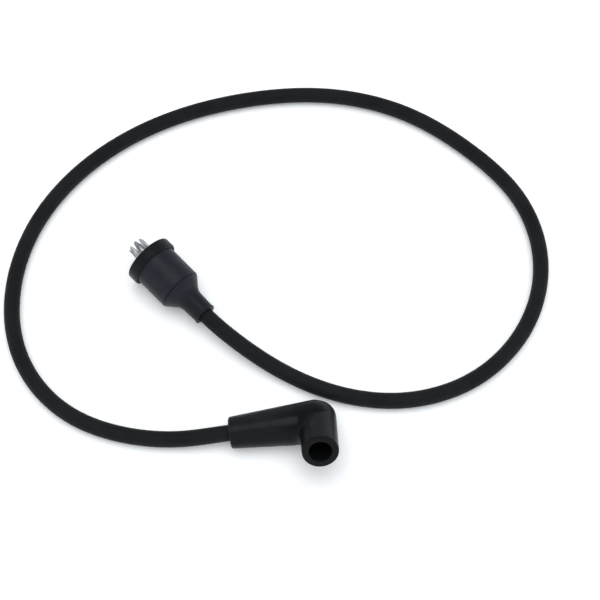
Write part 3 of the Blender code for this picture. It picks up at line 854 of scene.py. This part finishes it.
def elbow_skin(s):
    """The elbow's outside as one skin: sleeve and leg fused, with a fillet in the crotch."""
    rear, shoulder = s.elbow_rear / 2, s.elbow_shoulder / 2
    taper = (shoulder - rear) / (s.elbow_sleeve - s.shoulder_place)
    profile = []
    nose_steps = 2 * ARC_STEPS
    for k in range(1, nose_steps + 1):
        angle = math.pi / 2 * (1 - k / nose_steps)
        lift = s.shoulder_round * math.sin(angle) - s.shoulder_place
        profile.append((shoulder * math.cos(angle), lift))
    for k in range(1, ARC_STEPS + 1):
        reach = (s.elbow_sleeve + OVERSHOOT - s.shoulder_place) * k / ARC_STEPS
        profile.append((shoulder - taper * reach, -s.shoulder_place - reach))
    skin = turned("elbow_boot_moulding", profile, BOOT_SIDES)
    settle(skin, along_sleeve())

    mouth, head = s.mouth / 2, s.head / 2
    draft = (head - mouth) / (s.mouth_reach + s.heel_depth - s.heel_corner)
    profile = [(mouth - draft * OVERSHOOT, s.mouth_reach + OVERSHOOT)]
    heel = (head - s.heel_corner, s.heel_corner - s.heel_depth)
    profile += arc(heel, s.heel_corner, 0, -90)
    leg = turned("leg", profile, BOOT_SIDES)
    carve(skin, leg, "UNION")
    apply_modifier(skin, "REMESH", mode="VOXEL", voxel_size=VOXEL, use_smooth_shade=True)

    mesh = skin.data
    for vertex in mesh.vertices:
        x, y, z = vertex.co
        on_leg = abs(math.hypot(x, y) - head) < s.crotch
        sleeve_radius = min(shoulder, shoulder + taper * (x + s.shoulder_place))
        on_sleeve = abs(math.hypot(y, z) - sleeve_radius) < s.crotch
        vertex.select = on_leg and on_sleeve and x < 0 < z
    select_only(skin)
    bpy.ops.object.mode_set(mode="EDIT")
    bpy.ops.mesh.vertices_smooth(factor=SMOOTHING_SHARE, repeat=CROTCH_SMOOTHING)
    bpy.ops.mesh.select_all(action="SELECT")
    bpy.ops.mesh.vertices_smooth(factor=SMOOTHING_SHARE, repeat=SKIN_SMOOTHING)
    bpy.ops.object.mode_set(mode="OBJECT")
    return skin


def finish_rim(skin, height, edge):
    """Cuts a skin off square at a height on Z, and rounds the rim that is left."""
    select_only(skin)
    bpy.ops.object.mode_set(mode="EDIT")
    bpy.ops.mesh.select_mode(type="FACE")
    bpy.ops.mesh.select_all(action="SELECT")
    bpy.ops.mesh.bisect(
        plane_co=(0, 0, height - edge),
        plane_no=(0, 0, 1),
        use_fill=True,
        clear_outer=True,
        threshold=WELD,
    )
    bpy.ops.object.mode_set(mode="OBJECT")
    rim = [v.co for v in skin.data.vertices if abs(v.co.z - (height - edge)) < WELD]
    centre = sum(rim, Vector()) / len(rim)
    radius = sum((co - centre).to_2d().length for co in rim) / len(rim)
    bpy.ops.object.mode_set(mode="EDIT")
    last, level = radius, 0.0
    for k in range(1, ARC_STEPS + 1):
        angle = math.pi / 2 * k / ARC_STEPS
        wanted, rise = radius - edge + edge * math.cos(angle), edge * math.sin(angle)
        bpy.ops.mesh.extrude_region_move(TRANSFORM_OT_translate={"value": (0, 0, rise - level)})
        bpy.ops.transform.resize(
            value=(wanted / last, wanted / last, 1),
            center_override=(centre.x, centre.y, height - edge + rise),
        )
        last, level = wanted, rise
    bpy.ops.object.mode_set(mode="OBJECT")


class COILWIRE_OT_mould_elbow_boot(bpy.types.Operator):
    """Mould the right-angle boot: tapered sleeve, head, leg and fillet, with its bores"""

    bl_idname = "coil_wire.mould_elbow_boot"
    bl_label = "Mould Elbow Boot"

    def execute(self, context):
        s = context.scene.coil_wire_sizes
        boot = elbow_skin(s)
        finish_rim(boot, s.mouth_reach, s.edge)
        settle(boot, along_sleeve())
        finish_rim(boot, s.elbow_sleeve, s.rear_edge)
        settle(boot, along_sleeve().inverted())

        bore, cavity = s.plug_bore / 2, s.head_cavity / 2
        bore_end = s.mouth_reach - s.plug_bore_depth
        lip = (bore + s.edge, s.mouth_reach - s.edge)
        profile = [(bore + s.edge, s.mouth_reach + OVERSHOOT)] + arc(lip, s.edge, 90, 180)
        profile += [(bore, bore_end), (cavity, bore_end - (cavity - bore))]
        floor = (cavity - s.cavity_corner, s.cavity_corner - s.head_cavity_depth)
        profile += arc(floor, s.cavity_corner, 0, -90)
        carve(boot, turned("head_hollow", profile, BOOT_SIDES))

        pocket = -elbow_barrel_front(s) - crimp_span(s) - s.clearance
        crimp = crimp_radius(s) + s.clearance
        outside = -s.elbow_sleeve
        rim = s.edge / 2
        profile = [(crimp, 0.0), (crimp, pocket), (cable_bore(s), pocket)]
        profile += arc((cable_bore(s) + rim, outside + rim), rim, 180, 270, LIP_STEPS)
        profile.append((cable_bore(s) + rim, outside - OVERSHOOT))
        carve(boot, settle(turned("cable_channel", profile, BOOT_SIDES), along_sleeve()))

        # Painted sheen on the sleeve's upper side, and a painted highlight streak that ends short
        # of the head
        frame_turn = elbow_frame(s).to_3x3()
        head_edge = s.mouth / 2

        def painted_sleeve_sheen(co):
            across = frame_turn @ Vector((0.0, co.y, co.z))
            lean = math.degrees(math.atan2(-across.y, across.z))
            top_sheen = np.interp(lean, TOP_SHEEN_FADE, (TOP_SHEEN, 0.0))
            top_sheen *= np.interp(-co.x, (head_edge, s.elbow_sleeve / 2), (0.0, 1.0))
            highlight_streak = np.interp(lean, HIGHLIGHT_STREAK_FADES, (0.0, 1.0, 1.0, 0.0))
            highlight_streak *= np.interp(-co.x, (head_edge, head_edge + s.edge), (0.0, 1.0))
            return max(top_sheen, highlight_streak)

        paint_bloom_and_sheen(boot, painted_sleeve_sheen)
        settle(boot, elbow_frame(s))
        smooth(boot)
        colours = context.scene.coil_wire_colours
        clean, bloom_and_sheen = colours.elbow_boot, colours.elbow_boot_painted_sheen
        rubber = moulded_rubber("black rubber, moulded", clean, bloom_and_sheen, shine=0.11)
        dress(boot, rubber, "boot_rubber", "elbow_boot")
        return {"FINISHED"}


class COILWIRE_OT_plate_small_metal(bpy.types.Operator):
    """Give the socket, its spring and the bared conductors in the boots their metal finishes"""

    bl_idname = "coil_wire.plate_small_metal"
    bl_label = "Plate Small Metal"

    def execute(self, context):
        colours = context.scene.coil_wire_colours
        tin = bpy.data.materials["tin plate on rolled brass"]
        dull = colours.tin_dull
        wire = metal(
            "drawn spring steel",
            colours.spring,
            dull,
            roughness=(0.25, 0.4),
            blotch=1.0,
        )
        strand = metal(
            "tinned copper strand",
            colours.strand,
            dull,
            roughness=(0.3, 0.5),
            blotch=0.6,
        )
        finishes = {
            "socket_terminal": tin,
            "socket_spring": wire,
            "straight_conductor_end": strand,
            "elbow_conductor_end": strand,
        }
        for node, material in finishes.items():
            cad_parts[node].data.materials.clear()
            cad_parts[node].data.materials.append(material)
        return {"FINISHED"}


def seen_directly(tree):
    """1 for rays from the camera, gloss or glass, and 0 for the light that fills the room."""
    path = add_node(tree, "ShaderNodeLightPath")
    seen = path.outputs["Is Camera Ray"]
    for name in ("Is Glossy Ray", "Is Transmission Ray"):
        rays = {0: seen, 1: path.outputs[name]}
        seen = add_node(tree, "ShaderNodeMath", {"operation": "MAXIMUM"}, rays).outputs["Value"]
    return seen


class COILWIRE_OT_set_stage(bpy.types.Operator):
    """Set the white table, the pale room and the soft lamp over them"""

    bl_idname = "coil_wire.set_stage"
    bl_label = "Set Stage"

    def execute(self, context):
        scene = context.scene
        scene.view_settings.view_transform = "Standard"

        table = start("table", bpy.ops.mesh.primitive_plane_add, size=TABLE_SIZE)
        material, tree, shader = new_material("white table top")
        settings = {"operation": "MULTIPLY", 1: TABLE_LIFT}
        lift = add_node(tree, "ShaderNodeMath", settings, {0: seen_directly(tree)})
        set_shader(
            shader,
            {
                "Base Color": (*scene.coil_wire_colours.table, 1.0),
                "Roughness": 1.0,
                "Specular IOR Level": 0.0,
                "Emission Color": (1.0, 1.0, 1.0, 1.0),
            },
            {"Emission Strength": lift.outputs["Value"]},
        )
        table.data.materials.append(material)

        world = bpy.data.worlds.new("pale room")
        world.use_nodes = True
        scene.world = world
        tree = world.node_tree
        way = add_node(tree, "ShaderNodeTexCoord").outputs["Generated"]
        axes = add_node(tree, "ShaderNodeSeparateXYZ", links={"Vector": way}).outputs
        # What is seen of the room: white walls up to a dim ceiling, brightest behind the camera
        settings = {"From Min": 0.25, "From Max": 0.7, "To Min": 1.0, "To Max": 0.3}
        walls = add_node(tree, "ShaderNodeMapRange", settings, {"Value": axes["Z"]})
        settings = {"From Min": -1.0, "From Max": 1.0, "To Min": 1.3, "To Max": 0.75}
        side = add_node(tree, "ShaderNodeMapRange", settings, {"Value": axes["Y"]})
        shares = {0: walls.outputs["Result"], 1: side.outputs["Result"]}
        room = add_node(tree, "ShaderNodeMath", {"operation": "MULTIPLY"}, shares)
        # What lights the lead and the table: nearly all of it comes down from the ceiling
        settings = {"From Min": 0.6, "From Max": 0.9, "To Min": 0.06, "To Max": 2.1}
        ceiling = add_node(tree, "ShaderNodeMapRange", settings, {"Value": axes["Z"]})
        light = add_node(
            tree,
            "ShaderNodeMix",
            {"data_type": "FLOAT"},
            {
                "Factor": seen_directly(tree),
                "A": ceiling.outputs["Result"],
                "B": room.outputs["Value"],
            },
        )
        background = tree.nodes["Background"]
        background.inputs["Color"].default_value = (*scene.coil_wire_colours.room, 1.0)
        tree.links.new(light.outputs["Result"], background.inputs["Strength"])

        bpy.ops.object.select_all(action="DESELECT")
        bpy.ops.object.light_add(type="AREA", location=LAMP_PLACE)
        lamp = context.object
        lamp.name = lamp.data.name = "overhead softbox"
        lamp.data.shape = "SQUARE"
        lamp.data.size = LAMP_SIZE
        lamp.data.energy = LAMP_POWER
        lamp.rotation_euler = (LAMP_AIM - LAMP_PLACE).to_track_quat("-Z", "Y").to_euler()
        return {"FINISHED"}


class COILWIRE_PT_steps(bpy.types.Panel):
    """Lists the steps, the sizes and the colours in the 3D view's sidebar"""

    bl_label = "Coil Wire"
    bl_idname = "COILWIRE_PT_steps"
    bl_space_type = "VIEW_3D"
    bl_region_type = "UI"
    bl_category = "Coil Wire"

    def draw(self, context):
        for step in STEPS:
            self.layout.operator(step.bl_idname)
        for group in (context.scene.coil_wire_sizes, context.scene.coil_wire_colours):
            column = self.layout.column()
            for name in group.__annotations__:
                column.prop(group, name)


STEPS = (
    COILWIRE_OT_place_camera,
    COILWIRE_OT_lay_cable,
    COILWIRE_OT_mould_straight_boot,
    COILWIRE_OT_stamp_prong_terminal,
    COILWIRE_OT_mould_elbow_boot,
    COILWIRE_OT_plate_small_metal,
    COILWIRE_OT_set_stage,
)
CLASSES = (CoilWireSizes, CoilWireColours, *STEPS, COILWIRE_PT_steps)


def register():
    for each in CLASSES:
        bpy.utils.register_class(each)
    bpy.types.Scene.coil_wire_sizes = PointerProperty(type=CoilWireSizes)
    bpy.types.Scene.coil_wire_colours = PointerProperty(type=CoilWireColours)


def unregister():
    del bpy.types.Scene.coil_wire_colours
    del bpy.types.Scene.coil_wire_sizes
    for each in reversed(CLASSES):
        bpy.utils.unregister_class(each)


def main():
    register()
    bpy.ops.coil_wire.place_camera()
    bpy.ops.coil_wire.lay_cable()
    bpy.ops.coil_wire.mould_straight_boot()
    bpy.ops.coil_wire.stamp_prong_terminal()
    bpy.ops.coil_wire.mould_elbow_boot()
    bpy.ops.coil_wire.plate_small_metal()
    bpy.ops.coil_wire.set_stage()


if __name__ == "__main__":
    main()
